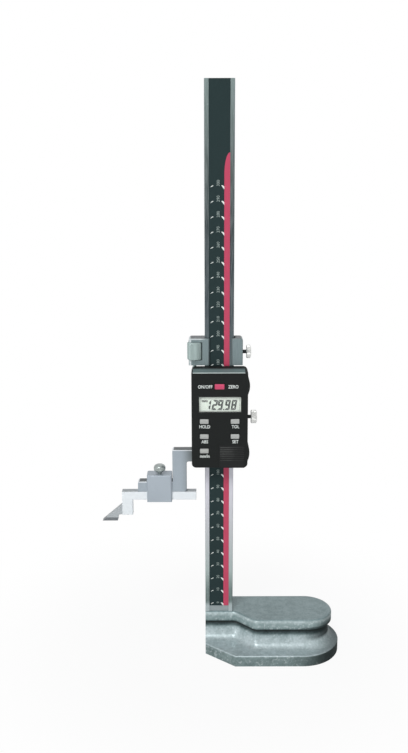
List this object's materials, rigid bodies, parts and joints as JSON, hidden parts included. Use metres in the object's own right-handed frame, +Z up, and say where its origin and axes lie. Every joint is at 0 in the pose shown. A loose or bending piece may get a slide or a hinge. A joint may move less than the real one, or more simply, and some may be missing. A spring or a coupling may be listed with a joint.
{
  "type": "digital height gauge",
  "caption": "Digital height gauge: rounded cast base, graduated column, slider with LCD display and buttons, fine-adjustment nut, clamped scriber with carbide tip",
  "frame": {"origin": "on the resting plane of the base, under the middle of the column", "axes": "+Z up along the column, +X towards the rounded end of the base, +Y away from the display"},
  "size_m": [0.1725, 0.0576, 0.4037],
  "materials": {
    "casting": "hammered grey-green enamel on cast iron",
    "satin_steel": "fine ground and satin chromed",
    "ground_steel": "ground",
    "black_screws": "black oxide",
    "scale_film": "printed film, dark green-grey with a red stripe",
    "satin_chrome": "satin chrome",
    "bright_screws": "bright",
    "bronze": "turned bronze",
    "housing_plastic": "fine-textured black plastic",
    "cover_plastic": "fine-textured black plastic",
    "window_glass": "clear",
    "lcd_glass": "reflective liquid crystal, grey-green",
    "rubber_strip": "soft",
    "board_green": "solder resist",
    "black_plastic": "moulded",
    "battery_can": "nickel-plated",
    "spring_metal": "spring bronze",
    "grey_keys": "matt",
    "red_key": "satin",
    "nut_steel": "satin chrome",
    "bright_nickel": "bright nickel",
    "scriber_steel": "ground",
    "carbide": "ground carbide"
  },
  "bodies": {
    "base": {"base_casting": "casting", "column": "satin_steel", "column_screws": "black_screws", "column_dowel": "ground_steel", "scale_strip": "scale_film"},
    "fine_carrier": {"fine_block": "satin_chrome", "fine_shoe": "bronze"},
    "fine_wheel": {"fine_nut": "nut_steel"},
    "fine_lock": {"fine_clamp_screw": "bright_nickel"},
    "slider": {"slider_frame": "satin_chrome", "slider_back_plate": "satin_chrome", "back_plate_screws": "bright_screws", "gib": "bronze", "gib_screws": "black_screws", "display_housing": "housing_plastic", "housing_screws": "bright_screws", "lcd_window": "window_glass", "lcd_panel": "lcd_glass", "lcd_connectors": "rubber_strip", "circuit_board": "board_green", "pickup_board": "board_green", "board_connector": "black_plastic", "rubber_domes": "rubber_strip", "battery": "battery_can", "battery_contact": "spring_metal", "fine_screw": "ground_steel"},
    "slider_lock": {"main_clamp_screw": "bright_nickel"},
    "battery_door": {"battery_cover": "cover_plastic"},
    "hold_key": {"hold_button": "grey_keys"},
    "tolerance_key": {"tolerance_button": "grey_keys"},
    "absolute_key": {"absolute_button": "grey_keys"},
    "set_key": {"set_button": "grey_keys"},
    "unit_key": {"unit_button": "grey_keys"},
    "power_key": {"power_button": "red_key"},
    "scriber_holder": {"scriber_clamp": "satin_chrome"},
    "scriber_lock": {"scriber_clamp_screw": "bright_nickel"},
    "scribing_arm": {"scriber": "scriber_steel", "scriber_tip": "carbide"}
  },
  "joints": [
    {"name": "coarse_slide", "type": "slide", "parent": "base", "child": "fine_carrier", "axis": [0, 0, 1], "range_m": [-0.099, 0.167]},
    {"name": "fine_slide", "type": "slide", "parent": "fine_carrier", "child": "slider", "axis": [0, 0, 1], "range_m": [-0.003, 0.002]},
    {"name": "fine_nut_turn", "type": "hinge", "parent": "fine_carrier", "child": "fine_wheel", "pos_m": [-0.017, -0.0035, 0.2265], "axis": [0, 0, 1], "range_deg": [-2200, 1500]},
    {"name": "fine_clamp_turn", "type": "hinge", "parent": "fine_carrier", "child": "fine_lock", "pos_m": [0.0205, 0, 0.2252], "axis": [1, 0, 0], "range_deg": [0, 720]},
    {"name": "main_clamp_turn", "type": "hinge", "parent": "slider", "child": "slider_lock", "pos_m": [0.0252, 0, 0.1785], "axis": [1, 0, 0], "range_deg": [0, 720]},
    {"name": "battery_cover_slide", "type": "slide", "parent": "slider", "child": "battery_door", "axis": [0, 0, -1], "range_m": [0, 0.0175]},
    {"name": "scriber_clamp_slide", "type": "slide", "parent": "slider", "child": "scriber_holder", "axis": [1, 0, 0], "range_m": [-0.005, 0]},
    {"name": "scriber_clamp_turn", "type": "hinge", "parent": "scriber_holder", "child": "scriber_lock", "pos_m": [-0.0423, -0.003, 0.141], "axis": [0, 0, 1], "range_deg": [0, 720]},
    {"name": "scriber_slide", "type": "slide", "parent": "slider", "child": "scribing_arm", "axis": [1, 0, 0], "range_m": [-0.015, 0.004]},
    {"name": "hold_key_press", "type": "slide", "parent": "slider", "child": "hold_key", "axis": [0, 1, 0], "range_m": [0, 0.0006], "stiffness_N_per_m": 600},
    {"name": "tolerance_key_press", "type": "slide", "parent": "slider", "child": "tolerance_key", "axis": [0, 1, 0], "range_m": [0, 0.0006], "stiffness_N_per_m": 600},
    {"name": "absolute_key_press", "type": "slide", "parent": "slider", "child": "absolute_key", "axis": [0, 1, 0], "range_m": [0, 0.0006], "stiffness_N_per_m": 600},
    {"name": "set_key_press", "type": "slide", "parent": "slider", "child": "set_key", "axis": [0, 1, 0], "range_m": [0, 0.0006], "stiffness_N_per_m": 600},
    {"name": "unit_key_press", "type": "slide", "parent": "slider", "child": "unit_key", "axis": [0, 1, 0], "range_m": [0, 0.0006], "stiffness_N_per_m": 600},
    {"name": "power_key_press", "type": "slide", "parent": "slider", "child": "power_key", "axis": [0, 1, 0], "range_m": [0, 0.0006], "stiffness_N_per_m": 600}
  ],
  "couplings": [
    {"joint": "fine_nut_turn", "follows": "fine_slide", "rad_per_m": 12566}
  ]
}
